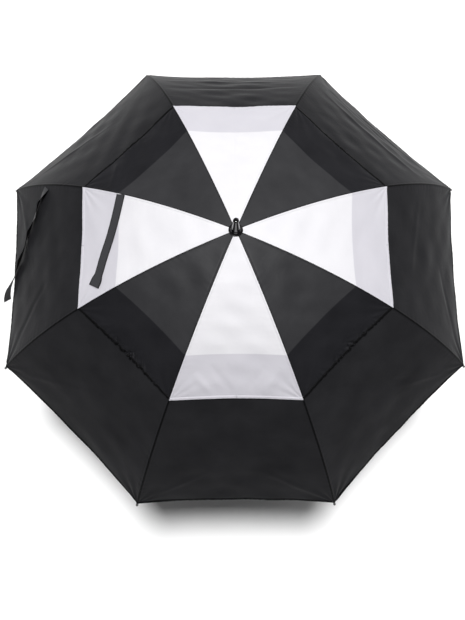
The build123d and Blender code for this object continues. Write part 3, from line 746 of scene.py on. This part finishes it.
@dataclass
class Layer:
    """One of the two canopies: its place, its cut and how it creases."""

    name: str
    dome: Dome
    lift: float                   # underside above the ribs' centre line
    start: float
    end: float
    rows: tuple[int, int]         # grid rows before and beyond the rib joint
    half_columns: int
    thickness: float = 0.3 * MM
    sag: float = 7 * MM           # how far the middle of a gore dips below a straight line at the rim
    sag_power: float = 1.5        # above 1, the dip comes on late
    hem_hollow: float = 5 * MM    # how far the hem curves in between ribs
    hollow_power: float = 4.0     # high for a hem that turns sharply near the ribs
    flap_lift: float = 0.0        # how far the hem stands off the layer below
    pucker: dict[int, float] = field(default_factory=dict)
    creases: dict[int, list[Crease]] = field(default_factory=dict)
    gather: float = 1.0 * MM      # depth of the folds that fan out from the rib ends
    seam_rise: float = 0.45 * MM
    hem_rows: int = 3

    def dip(self, arc: np.ndarray, span: np.ndarray) -> np.ndarray:
        """How far the stretched cloth dips below the straight line from rib to rib."""
        out = np.clip(arc / RIB_LENGTH, 0, 1.1)
        return self.sag * np.sin(out * pi / 2) ** self.sag_power * (1 - span ** 2)

    def reach(self, outer: bool) -> tuple[float, float]:
        """Arcs between which one length of the ribs carries this layer."""
        return (self.dome.joint_arc, self.end) if outer else (self.start, self.dome.joint_arc)

    def relief(self, gore: int, arc: np.ndarray, span: np.ndarray) -> np.ndarray:
        """Height of the folds and puckers over the smooth sheet.

        Args:
            gore: Number of the gore, which also seeds its own small differences.
            arc: Distance along the ribs.
            span: Place between the two ribs.

        Returns:
            Height at each place, outwards.
        """
        draw = np.random.default_rng(100 * gore + len(self.name))
        width = self.dome.half_width(arc, self.lift)
        across = span * width
        from_hem = np.maximum(self.end - arc, 0.0)
        from_ribs = [width * (1 - side * span) for side in (-1, 1)]
        height = self.slack(draw, arc, across) * (1 - span ** 2)
        for from_rib in from_ribs:
            height += self.fan(draw, from_rib, from_hem)
        for from_rib in from_ribs:
            height += self.seam_pucker(draw, arc, from_rib)
        for from_rib in from_ribs:
            height += self.felled_seam(arc, from_rib)
        height += self.drawn_hem(draw, self.pucker.get(gore, 0.0), across, span, from_hem)
        for crease in self.creases.get(gore, []):
            height += self.fold(crease, arc, span)
        return height

    def slack(self, draw: np.random.Generator, arc: np.ndarray, across: np.ndarray) -> np.ndarray:
        """Broad slack: long shallow waves, each with its own direction and length."""
        waves, depth, most_turn, lengths = 5, 0.35 * MM, 0.9, (45, 110)
        height = np.zeros_like(arc * across)
        for _ in range(waves):
            turn, size = draw.uniform(-most_turn, most_turn), draw.uniform(*lengths) * MM
            phase = draw.uniform(0, 2 * pi)
            height += depth * np.sin(2 * pi * (arc * cos(turn) + across * sin(turn)) / size + phase)
        return height

    def fan(self, draw: np.random.Generator, from_rib: np.ndarray, from_hem: np.ndarray) -> np.ndarray:
        """Folds that fan out from a rib's end along the hem."""
        fade_out, fade_in, beside_rib = 55 * MM, 14 * MM, 8 * MM
        reach = np.hypot(from_rib, from_hem) + 1e-6
        folds, phase = draw.uniform(9, 13), draw.uniform(0, 2 * pi)
        strength = self.gather * draw.uniform(0.7, 1.3)
        fade = np.exp(-reach / fade_out) * smooth_step(reach / fade_in) * smooth_step(from_rib / beside_rib)
        return strength * np.sin(folds * np.arctan2(from_hem, from_rib) + phase) * fade

    def seam_pucker(self, draw: np.random.Generator, arc: np.ndarray, from_rib: np.ndarray) -> np.ndarray:
        """Small puckers beside a rib, drawn up by its seam at an uneven spacing."""
        depth, spacing, drift, fade_out, fade_in = 0.35 * MM, 13 * MM, 90 * MM, 10 * MM, 3 * MM
        out = (arc - self.start) / (self.end - self.start)
        phase = draw.uniform(0, 2 * pi)
        beat = np.sin(2 * pi * arc / spacing + phase + 2 * np.sin(2 * pi * arc / drift))
        fade = np.exp(-from_rib / fade_out) * smooth_step(from_rib / fade_in) * smooth_step(out * 3)
        return depth * beat * fade

    def felled_seam(self, arc: np.ndarray, from_rib: np.ndarray) -> np.ndarray:
        """The felled seam beside a rib: a narrow ridge with a groove beside it."""
        ridge_at, ridge_width, groove_at, groove_width, groove_share = 2.6 * MM, 1.7 * MM, 6 * MM, 2 * MM, 0.6
        out = (arc - self.start) / (self.end - self.start)
        ridge = np.exp(-((from_rib - ridge_at) / ridge_width) ** 2)
        groove = groove_share * np.exp(-((from_rib - groove_at) / groove_width) ** 2)
        return self.seam_rise * (ridge - groove) * smooth_step(out * 6)

    def drawn_hem(self, draw: np.random.Generator, pucker: float, across: np.ndarray, span: np.ndarray,
                  from_hem: np.ndarray) -> np.ndarray:
        """The hem drawn up by its stitching.

        Args:
            draw: The gore's random numbers.
            pucker: How far this gore's hem is drawn up, beyond what every hem is.
            across: Distance from the gore's middle.
            span: Place between the two ribs.
            from_hem: Distance from the hem.

        Returns:
            Height at each place.
        """
        least, pleat, small_pleat, steep_pucker = 0.25 * MM, 15 * MM, 8.7 * MM, 1 * MM
        bunch_at, bunch_width = 0.1, 0.42
        bunched = 0.35 + 0.65 * np.exp(-(((span - bunch_at) / bunch_width) ** 2))
        bunched = bunched + 0.2 * np.sin(2 * pi * across / (47 * MM))
        lean = 0.9 * from_hem * np.sin(2 * pi * across / (83 * MM) + draw.uniform(0, 6))
        along = across + lean
        swing = 2.4 * np.sin(2 * pi * along / (67 * MM) + draw.uniform(0, 6))
        beat = np.sin(2 * pi * along / pleat + swing)
        beat += 0.6 * np.sin(2 * pi * along / small_pleat - 1.3 * swing)
        middle = np.clip(1 - np.abs(span) ** 3, 0, 1)
        reach = 12 * MM + 4 * MM * (pucker > steep_pucker)
        return (least + pucker * bunched) * beat * np.exp(-((from_hem / reach) ** 1.4)) * middle

    def fold(self, crease: Crease, arc: np.ndarray, span: np.ndarray) -> np.ndarray:
        """Height of one crease.

        Args:
            crease: The crease.
            arc: Distance along the ribs.
            span: Place between the two ribs.

        Returns:
            Height at each place.
        """
        width = self.dome.half_width(arc, self.lift)
        ends = []
        for end_span, end_arc in (crease.start, crease.end):
            side = float(self.dome.half_width(np.array(end_arc), self.lift))
            ends.append(np.array([end_span * side, end_arc]))
        run = ends[1] - ends[0]
        length = float(np.hypot(*run))
        x, y = span * width - ends[0][0], arc - ends[0][1]
        t = np.clip((x * run[0] + y * run[1]) / length ** 2, 0, 1)
        away = np.hypot(x - t * run[0], y - t * run[1])
        taper = np.sin(pi * np.clip(t, 0.02, 0.98)) ** 0.6
        return crease.height * np.exp(-(away / crease.width) ** 2) * taper

    def standing_off(self, arc: np.ndarray, span: np.ndarray) -> np.ndarray:
        """How far the flap stands off the layer below."""
        free_from = self.dome.joint_arc * 0.9
        near_hem = smooth_step((arc - free_from) / (self.end - free_from))
        return self.flap_lift * near_hem * (1 - span ** 4)

    def height(self, gore: int, arc: np.ndarray, span: np.ndarray) -> np.ndarray:
        """Everything that moves the cloth off the straight lines from rib to rib."""
        return self.relief(gore, arc, span) + self.standing_off(arc, span) - self.dip(arc, span)


@dataclass
class GoreSheet:
    """A gore's finished grid of points, before it is cut into the parts that its ribs carry."""

    layer: Layer
    gore: int
    points: np.ndarray
    normals: np.ndarray
    flat: np.ndarray
    smooth: np.ndarray            # the same grid before folds, as the cloth was cut

    @staticmethod
    def lay(layer: Layer, gore: int, tool: NodeTool, cloth: bpy.types.Material) -> "GoreSheet":
        """Lay a gore's grid over its two ribs and give it its dip, hem and folds.

        Args:
            layer: The canopy that it belongs to.
            gore: Its number.
            tool: The tree that makes the ruled grid.
            cloth: Its finish.

        Returns:
            The finished grid.
        """
        dome = layer.dome
        columns = 2 * layer.half_columns + 1
        grids, arcs = [], []
        for outer, rows in zip((False, True), layer.rows):
            low, high = layer.reach(outer)
            base = bpy.data.meshes.new("gore_base")
            made = tool.run(
                base, Rows=rows, Columns=columns, Arc_Start=low, Arc_End=high,
                Dome_Radius=dome.radius, Lift=layer.lift + layer.thickness / 2,
                Half_Angle=dome.half_gore, Centre_Height=dome.centre, Cloth=cloth)
            spots = np.zeros(len(made.vertices) * 3, np.float32)
            made.vertices.foreach_get("co", spots)
            grid = spots.reshape(rows, columns, 3).astype(float)
            grids.append(grid if not grids else grid[1:])
            steps = np.linspace(low, high, rows)
            arcs.append(steps if not arcs else steps[1:])
            bpy.data.meshes.remove(made)
        smooth = np.concatenate(grids)
        arc = np.concatenate(arcs)[:, None]
        span = crowded_spans(columns)[None, :]
        outward = unit(np.gradient(smooth, axis=0))
        share = smooth_step((arc - layer.start) / (layer.end - layer.start)) ** 2
        hollow = layer.hem_hollow * share * (1 - np.abs(span) ** layer.hollow_power)
        points = smooth - outward * hollow[..., None]
        points += grid_normals(smooth) * layer.height(gore, arc, span)[..., None]
        across = span * dome.half_width(arc, layer.lift)
        flat = np.stack([across, np.broadcast_to(arc, across.shape)], axis=-1)
        points = turn_about_shaft(points, dome.gore_angle(gore))
        return GoreSheet(layer, gore, points, grid_normals(points), flat, smooth)

    def cut(self, half: Half, outer: bool) -> tuple[slice, slice]:
        """Rows and columns of the part that one rib length carries."""
        joint_row, middle = self.layer.rows[0] - 1, self.layer.half_columns
        rows = slice(joint_row, None) if outer else slice(0, joint_row + 1)
        columns = slice(0, middle + 1) if half is Half.FIRST else slice(middle, None)
        return rows, columns


@dataclass
class Folding:
    """Hangs each piece of cloth on the rib that carries it."""

    dome: Dome
    keep: float = 0.02
    lean: float = radians(27)     # turn of the pleat outwards from its rib

    def carry(self, piece: bpy.types.Object, slot: Slot, layer: Layer, gore: int, half: Half,
              outer: bool) -> str:
        """Let a rib carry a piece, which moves with the rib's body.

        Args:
            piece: The finished piece.
            slot: Its finish in the record. Not used.
            layer: The canopy that it lies on.
            gore: The gore that it lies on.
            half: The half of that gore.
            outer: Whether the outer length of the rib carries it.

        Returns:
            The name of the body that carries it.
        """
        rib, (low, high) = self.dome.rib_of(gore, half), layer.reach(outer)
        body = f"rib_outer_{rib}" if outer else f"rib_inner_{rib}"
        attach(piece, body)
        angle, turn = self.dome.rib_angle(rib), (low + high) / 2 / self.dome.radius
        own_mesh(piece)
        return body


@dataclass
class Canopy:
    """Both canopies: sixteen gores with their hems and stitching."""

    dome: Dome
    wardrobe: Wardrobe
    folding: Folding
    stitch_pitch: float = 3.6 * MM
    stitch_length: float = 2.6 * MM
    thread_radius: float = 0.28 * MM
    hem_half: float = 0.5 * MM
    hem_lip: float = 0.7 * MM     # how far the fold stands past the cloth's edge
    sheets: dict[tuple[str, int], GoreSheet] = field(default_factory=dict)

    def layers(self) -> list[Layer]:
        """The lower canopy and the vented upper one."""
        black_pucker = {6: 3.2 * MM, 8: 2.7 * MM, 2: 0.4 * MM, 4: 0.6 * MM}
        upper_creases = {
            3: [Crease((0.02, 0.08), (0.0, 0.40), 5 * MM, -0.5 * MM)],
            7: [
                Crease((-0.75, 0.35), (-0.35, 0.41), 9 * MM, 1.6 * MM),
                Crease((-0.5, 0.33), (-0.05, 0.405), 10 * MM, -1.4 * MM),
                Crease((0.8, 0.34), (0.4, 0.41), 9 * MM, 1.5 * MM),
                Crease((0.55, 0.33), (0.2, 0.40), 9 * MM, -1.2 * MM),
            ],
            4: [
                Crease((0.9, 0.34), (0.35, 0.40), 6 * MM, 1.4 * MM),
                Crease((0.85, 0.32), (0.2, 0.375), 6 * MM, -1.2 * MM),
            ],
        }
        lower_creases = {
            2: [
                Crease((-0.8, 0.60), (0.75, 0.61), 8 * MM, 1.7 * MM),
                Crease((-0.6, 0.66), (0.8, 0.665), 7 * MM, -1.4 * MM),
                Crease((-0.7, 0.705), (0.5, 0.70), 6 * MM, 1.2 * MM),
            ],
            3: [
                Crease((-0.85, 0.56), (0.8, 0.55), 9 * MM, -1.5 * MM),
                Crease((-0.7, 0.62), (0.85, 0.63), 8 * MM, 1.6 * MM),
                Crease((-0.6, 0.69), (0.6, 0.685), 6 * MM, -1.1 * MM),
            ],
            4: [Crease((0.9, 0.70), (-0.2, 0.60), 8 * MM, 1.4 * MM)],
            5: [
                Crease((-0.95, 0.72), (0.1, 0.62), 9 * MM, 1.5 * MM),
                Crease((0.95, 0.72), (0.3, 0.55), 9 * MM, -1.4 * MM),
            ],
            6: [
                Crease((-0.9, 0.74), (-0.2, 0.60), 9 * MM, 1.6 * MM),
                Crease((0.4, 0.48), (-0.5, 0.66), 10 * MM, -1.3 * MM),
            ],
            7: [
                Crease((-0.9, 0.73), (-0.3, 0.64), 8 * MM, 1.6 * MM),
                Crease((0.9, 0.73), (0.3, 0.64), 8 * MM, 1.6 * MM),
            ],
            8: [
                Crease((0.9, 0.74), (0.2, 0.60), 9 * MM, 1.5 * MM),
                Crease((-0.5, 0.46), (0.5, 0.64), 10 * MM, -1.2 * MM),
            ],
            1: [
                Crease((-0.9, 0.72), (0.0, 0.64), 9 * MM, -1.4 * MM),
                Crease((0.8, 0.55), (-0.3, 0.50), 9 * MM, 1.2 * MM),
            ],
        }
        return [
            Layer(
                "lower", self.dome, lift=2.8 * MM, start=LOWER_START, end=0.750, rows=(14, 116),
                half_columns=64, gather=1.5 * MM, creases=lower_creases),
            Layer(
                "upper", self.dome, lift=3.8 * MM, start=0.0088, end=0.417, rows=(98, 21),
                half_columns=42, hollow_power=2.0, flap_lift=4.5 * MM, gather=0.9 * MM,
                pucker=black_pucker, creases=upper_creases),
        ]

    def colour(self, layer: Layer, gore: int) -> Slot:
        """White for every other upper gore, black for the rest."""
        return Slot.WHITE if layer.name == "upper" and gore % 2 else Slot.BLACK

    def cloth(self, layer: Layer, slot: Slot) -> bpy.types.Material:
        """The finish for a layer's gore."""
        # Black upper gores take the copy with painted light and shade.
        lit_and_shaded_black = layer.name == "upper" and slot is Slot.BLACK
        return self.wardrobe.get(BLACK_UPPER_LIT_AND_SHADED if lit_and_shaded_black else FINISHES[slot])

    def build(self) -> None:
        """Make every gore of both canopies."""
        ruled, stitching = ruled_gore_tool(), stitch_tool()
        for layer in self.layers():
            for gore in range(1, RIBS + 1):
                slot = self.colour(layer, gore)
                sheet = GoreSheet.lay(layer, gore, ruled, self.cloth(layer, slot))
                self.sheets[layer.name, gore] = sheet
                for half in Half:
                    for outer in (False, True):
                        self.panel(sheet, half, outer, slot, stitching)
            LOG.info("%s canopy: %d gores", layer.name, RIBS)

    def panel(self, sheet: GoreSheet, half: Half, outer: bool, slot: Slot, stitching: NodeTool) -> None:
        """Make the part of a gore that one rib length carries, with its hem and stitching.

        Args:
            sheet: The gore's grid.
            half: Which half of the gore.
            outer: Whether it lies beyond the rib joint.
            slot: Its finish.
            stitching: The tree that lays the stitches.
        """
        layer, gore = sheet.layer, sheet.gore
        rows, columns = sheet.cut(half, outer)
        part = f"{half.name.lower()}_{'outer' if outer else 'inner'}"
        cloth = self.cloth(layer, slot)
        points, normals, flat = (grid[rows, columns] for grid in (sheet.points, sheet.normals, sheet.flat))
        name = f"{layer.name}_gore_{gore}_{part}"
        piece = closed_shell(name, points, normals, flat, layer.thickness / 2, cloth)
        if half is Half.FIRST and outer == (layer.name == "lower"):
            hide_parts(f"{layer.name}_gore_{gore}")
        # Black hems and stitches take the darker copy, painted shade.
        edging = self.wardrobe.get(BLACK_HEM_SHADED) if slot is Slot.BLACK else cloth
        extras = []
        if outer:
            extras.append(self.hem(sheet, columns, piece.name, edging))
            extras.append(self.stitches(sheet, columns, piece.name, edging, stitching))
        for item in [piece, *extras]:
            body = self.folding.carry(item, slot, layer, gore, half, outer)

    def hem(self, sheet: GoreSheet, columns: slice, name: str, cloth: bpy.types.Material) -> bpy.types.Object:
        """Make the double-folded hem along a gore's outer edge.

        Args:
            sheet: The gore's grid.
            columns: The grid's columns that this half has.
            name: The name of the cloth that it belongs to.
            cloth: Its finish.

        Returns:
            The hem.
        """
        rows = sheet.layer.hem_rows
        points, normals = sheet.points[-rows:, columns], sheet.normals[-rows:, columns]
        flat = sheet.flat[-rows:, columns]
        outward = unit(points[-1] - points[-2])
        swell = [0.5, 0.95, 1.0]
        above = [points[i] + normals[i] * self.hem_half * swell[i] for i in range(rows)]
        below = [points[i] - normals[i] * self.hem_half * swell[i] for i in range(rows)]
        lip = []
        for turn in (radians(50), 0.0, radians(-50)):
            past, aside = outward * cos(turn) * self.hem_lip, normals[-1] * sin(turn) * self.hem_half
            lip.append(points[-1] + past + aside)
        ring = [*above, *lip, *below[::-1]]
        spots = [*flat, *[flat[-1]] * len(lip), *flat[::-1]]
        around, count = len(ring), points.shape[1]
        grid = np.stack(ring).reshape(around, count, 3)
        faces = []
        for r in range(around):
            for c in range(count - 1):
                a, b = r * count + c, (r + 1) % around * count + c
                faces.append((a, b, b + 1, a + 1))
        faces.append([r * count for r in reversed(range(around))])
        faces.append([r * count + count - 1 for r in range(around)])
        return new_piece(name + "_hem", grid.reshape(-1, 3), faces, cloth, np.stack(spots).reshape(-1, 2))

    def stitches(self, sheet: GoreSheet, columns: slice, name: str, cloth: bpy.types.Material,
                 tool: NodeTool) -> bpy.types.Object:
        """Run the hem's stitching, a row along its inner edge.

        Args:
            sheet: The gore's grid.
            columns: The grid's columns that this half has.
            name: The name of the cloth that it belongs to.
            cloth: The thread's finish.
            tool: The tree that lays the stitches.

        Returns:
            The row of stitches.
        """
        line = sheet.points[-2, columns] + sheet.normals[-2, columns] * (self.hem_half + 0.1 * MM)
        base = bpy.data.meshes.new("stitch_line")
        base.from_pydata(line.tolist(), [(i, i + 1) for i in range(len(line) - 1)], [])
        mesh = tool.run(base, Pitch=self.stitch_pitch, Stitch_Length=self.stitch_length,
                        Thread_Radius=self.thread_radius, Thread=cloth)
        if "cloth" not in mesh.uv_layers:
            mesh.uv_layers.new(name="cloth")
        mesh.name = name + "_stitches"
        piece = bpy.data.objects.new(mesh.name, mesh)
        bpy.context.scene.collection.objects.link(piece)
        return piece


# ---- tie straps ----
@dataclass
class TieStrap:
    """A webbing strap lying across a gore, given by its route in the gore's plan."""

    name: str
    layer: Layer
    gore: int
    route: list[tuple[float, float]]
    dome: Dome
    wardrobe: Wardrobe
    folding: Folding
    outer: bool
    width: float = 22 * MM
    thickness: float = 0.8 * MM
    clearance: float = 0.9 * MM
    waviness: float = 0.35 * MM
    edge_share: float = 0.4       # beyond this share of the width, the tape is turned and thicker
    roll: list[float] = field(default_factory=lambda: [0.0, 0.0])
    droop: float = 0.0            # how far it hangs below the dome's curve, 60 mm past the rim
    flare: float = 0.0            # how much wider its fastening end is
    flare_start: float = 0.86     # share of the length where that end begins
    steps: int = 90
    columns: int = 12

    def centre_line(self) -> np.ndarray:
        """The route as a smooth line of (out, across), evenly stepped."""
        knots = np.array(self.route) * MM
        curve = bpy.data.curves.new(self.name + "_route", "CURVE")
        curve.dimensions = "2D"
        spline = curve.splines.new("NURBS")
        spline.points.add(len(knots) - 1)
        for point, (out, across) in zip(spline.points, knots):
            point.co = (out, across, 0, 1)
        spline.order_u = 3
        spline.use_endpoint_u = True
        spline.resolution_u = 24
        holder = bpy.data.objects.new(self.name + "_route", curve)
        mesh = bpy.data.meshes.new_from_object(holder)
        line = np.array([v.co[:2] for v in mesh.vertices])
        bpy.data.objects.remove(holder)
        bpy.data.meshes.remove(mesh)
        along = np.concatenate([[0], np.cumsum(np.hypot(*np.diff(line, axis=0).T))])
        at = np.linspace(0, along[-1], self.steps)
        return np.stack([np.interp(at, along, line[:, i]) for i in range(2)], axis=1)

    def on_cloth(self, out: np.ndarray, across: np.ndarray) -> tuple[np.ndarray, np.ndarray]:
        """Points and normals on the gore's finished face.

        Args:
            out: Distance out from the shaft along the gore's middle.
            across: Distance to its side.

        Returns:
            The points and the normals there, before the gore is turned to its place.
        """
        top = self.layer.lift + self.layer.thickness
        share = np.clip(out / ((self.dome.radius + top) * cos(self.dome.half_gore)), 0, 0.999)
        arc = self.dome.radius * np.arcsin(share)
        span = across / self.dome.half_width(arc, top)
        bent = np.clip(arc, 0, self.layer.end)
        raised = self.layer.standing_off(bent, span) - self.layer.dip(arc, span)
        creased = np.clip(self.layer.relief(self.gore, bent, np.clip(span, -1, 1)), 0, None)
        beyond = np.clip(arc - self.layer.end, 0, None)
        height = top + raised + creased - self.droop * (beyond / (60 * MM)) ** 1.5
        points = self.dome.over(arc, span, height)
        turn = arc / self.dome.radius
        return points, unit(np.stack([np.sin(turn), np.zeros_like(arc), np.cos(turn)], axis=-1))

    def build(self) -> None:
        """Make the strap as two parts that meet at the gore's middle, each carried by its own rib."""
        line = self.centre_line()
        spine, up = self.on_cloth(line[:, 0], line[:, 1])
        ahead = unit(np.gradient(spine, axis=0))
        beside = unit(np.cross(up, ahead))
        t = np.linspace(0, 1, self.steps)
        rolled = np.interp(t, np.linspace(0, 1, len(self.roll)), self.roll)
        place = np.linspace(-0.5, 0.5, self.columns + 1)
        wide = self.width * (1 + self.flare * smooth_step((t - self.flare_start) / 0.08))
        offset = place[None, :] * wide[:, None] * np.cos(rolled)[:, None]
        plan = line[:, None, :] + beside[:, None, :2] * offset[..., None]
        points, normals = self.on_cloth(plan[..., 0], plan[..., 1])
        risen = np.sin(rolled) * wide
        tilt = place[None, :] * risen[:, None] + np.abs(risen / 2)[:, None]
        edge = np.abs(place[None, :]) > self.edge_share
        soft = self.waviness * np.sin(t * 37)[:, None] * np.cos(place * 5)[None, :]
        lift = self.clearance + self.thickness / 2 + tilt + np.abs(soft)
        points = points + normals * lift[..., None]
        points = turn_about_shaft(points, self.dome.gore_angle(self.gore))
        faces_up = grid_normals(points)
        if faces_up[..., 2].mean() < 0:
            points, faces_up, edge = points[:, ::-1], -faces_up[:, ::-1], edge[:, ::-1]
        half = np.where(edge, self.thickness * 0.72, self.thickness * 0.5) * np.ones((self.steps, 1))
        flat_sides = np.broadcast_arrays(place[None, :] * self.width, t[:, None] * self.length(spine))
        flat = np.stack(flat_sides, axis=-1)
        middle = int(np.argmin(np.abs(line[:, 1])))
        webbing = self.wardrobe.get(FINISHES[Slot.STRAP])
        for half_gore, rows in ((Half.FIRST, slice(0, middle + 1)), (Half.SECOND, slice(middle, None))):
            name = f"{self.name}_{half_gore.name.lower()}"
            piece = closed_shell(name, points[rows], faces_up[rows], flat[rows], half[rows], webbing)
            if half_gore is Half.FIRST:
                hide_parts(self.name)
            body = self.folding.carry(piece, Slot.STRAP, self.layer, self.gore, half_gore, self.outer)
        LOG.info("%s: %.0f mm long", self.name, self.length(spine) / MM)

    @staticmethod
    def length(line: np.ndarray) -> float:
        """Length of a line of points."""
        return float(np.linalg.norm(np.diff(line, axis=0), axis=1).sum())


# ---- the frame's own parts ----
@dataclass
class HardParts:
    """Finishes for the frame's own parts, by the slot that the record gives each."""

    wardrobe: Wardrobe

    def dress(self) -> None:
        """Give every shown CAD part its material."""
        slots = {row["node"]: row["material_slot"] for row in frame["record"]["subparts"]}
        for name, node in frame["nodes"].items():
            if node.hide_render:
                continue
            material = self.wardrobe.get(FINISHES[Slot(slots[name])])
            node.data.materials.clear()
            node.data.materials.append(material)
        LOG.info("hard parts: %d nodes", len(frame["nodes"]))


# ---- studio ----
@dataclass
class SoftBox:
    """An area light aimed at a point."""

    name: str
    place: tuple[float, float, float]
    size: float
    power: float
    aim: tuple[float, float, float] = (0.0, 0.0, 0.7)

    def build(self) -> None:
        """Add the light."""
        light = bpy.data.lights.new(self.name, "AREA")
        light.shape, light.size, light.energy = "DISK", self.size, self.power
        lamp = bpy.data.objects.new(self.name, light)
        lamp.location = self.place
        lamp.rotation_euler = (Vector(self.aim) - Vector(self.place)).to_track_quat("-Z", "Y").to_euler()
        bpy.context.scene.collection.objects.link(lamp)


@dataclass
class SoftSun:
    """A distant light with a soft edge to its shadow."""

    name: str
    comes_from: tuple[float, float, float]
    power: float
    width: float

    def build(self) -> None:
        """Add the light."""
        light = bpy.data.lights.new(self.name, "SUN")
        light.energy, light.angle = self.power, self.width
        lamp = bpy.data.objects.new(self.name, light)
        lamp.rotation_euler = (-Vector(self.comes_from)).to_track_quat("-Z", "Y").to_euler()
        bpy.context.scene.collection.objects.link(lamp)


@dataclass
class Studio:
    """Pale floor, soft lights and the camera."""

    camera_place: tuple[float, float, float] = (-0.0198, -0.6853, 2.8016)
    camera_aim: tuple[float, float, float] = (-0.0058, -0.0848, 0.5397)
    camera_up: tuple[float, float, float] = (0.0031, 0.9665, 0.2566)
    lens_mm: float = 51.38
    sensor_mm: float = 36.0
    floor_radius: float = 9.0
    sky: float = 0.045

    def build(self) -> None:
        """Make the floor, the lights and the camera."""
        self.floor()
        self.lights()
        self.camera()

    def floor(self) -> None:
        """Lay a round pale floor at the height of the handle's end."""
        paper = Finish("studio_floor", "#fbfbfb", "#fbfbfb").build()
        count = 96
        turns = np.arange(count) * 2 * pi / count
        points = np.stack([np.cos(turns), np.sin(turns), 0 * turns], axis=1) * self.floor_radius
        points[:, 2] = CAD_BOX[0].z - 0.5 * MM
        disc = new_piece("floor", points, [range(count)], paper)

    def lights(self) -> None:
        """Light the sky evenly, with two soft suns and two soft boxes."""
        world = bpy.data.worlds.new("studio")
        world.use_nodes = True
        world.node_tree.nodes["Background"].inputs[0].default_value = (1, 1, 1, 1)
        world.node_tree.nodes["Background"].inputs[1].default_value = self.sky
        bpy.context.scene.world = world
        SoftSun("main_sun", (0.0, 0.075, 1.0), 3.35, radians(11)).build()
        SoftSun("back_sun", (0.35, 0.8, 1.0), 0.55, radians(30)).build()
        SoftBox("right_box", (2.0, 1.4, 2.2), 1.0, 14).build()
        SoftBox("left_box", (-2.0, 1.4, 2.2), 1.0, 10).build()
        scene = bpy.context.scene
        scene.view_settings.view_transform = "Standard"
        scene.view_settings.look = "None"

    def camera(self) -> None:
        """Set up the camera, looking down on the canopy."""
        data = bpy.data.cameras.new("camera")
        data.lens, data.sensor_width, data.clip_end = self.lens_mm, self.sensor_mm, 60
        camera = bpy.data.objects.new("camera", data)
        back = (Vector(self.camera_place) - Vector(self.camera_aim)).normalized()
        right = Vector(self.camera_up).cross(back).normalized()
        up = back.cross(right)
        turn = Matrix((right, up, back)).transposed().to_4x4()
        camera.matrix_world = Matrix.Translation(self.camera_place) @ turn
        bpy.context.scene.collection.objects.link(camera)
        bpy.context.scene.camera = camera


def main() -> None:
    """Build the umbrella's looks around its frame."""
    wardrobe, dome = Wardrobe(), Dome()
    folding = Folding(dome)
    canopy = Canopy(dome, wardrobe, folding)
    canopy.build()
    lower, upper = canopy.layers()
    TieStrap(
        "upper_tie_strap", upper, 5, [(268, -110), (285, -34), (305, 31), (319, 87), (328, 106)],
        dome, wardrobe, folding, outer=False, flare=0.35).build()
    TieStrap(
        "lower_tie_strap", lower, 5,
        [(474, -187), (490, -158), (526, -84), (547, -37), (571, 4), (595, 38), (622, 48)],
        dome, wardrobe, folding, outer=True, droop=12 * MM,
        roll=[0.0, 0.75, 0.35, 0.8, 0.4, 0.75, 0.3, 0.7, 0.9]).build()
    HardParts(wardrobe).dress()
    Studio().build()


if __name__ == "__main__":
    main()
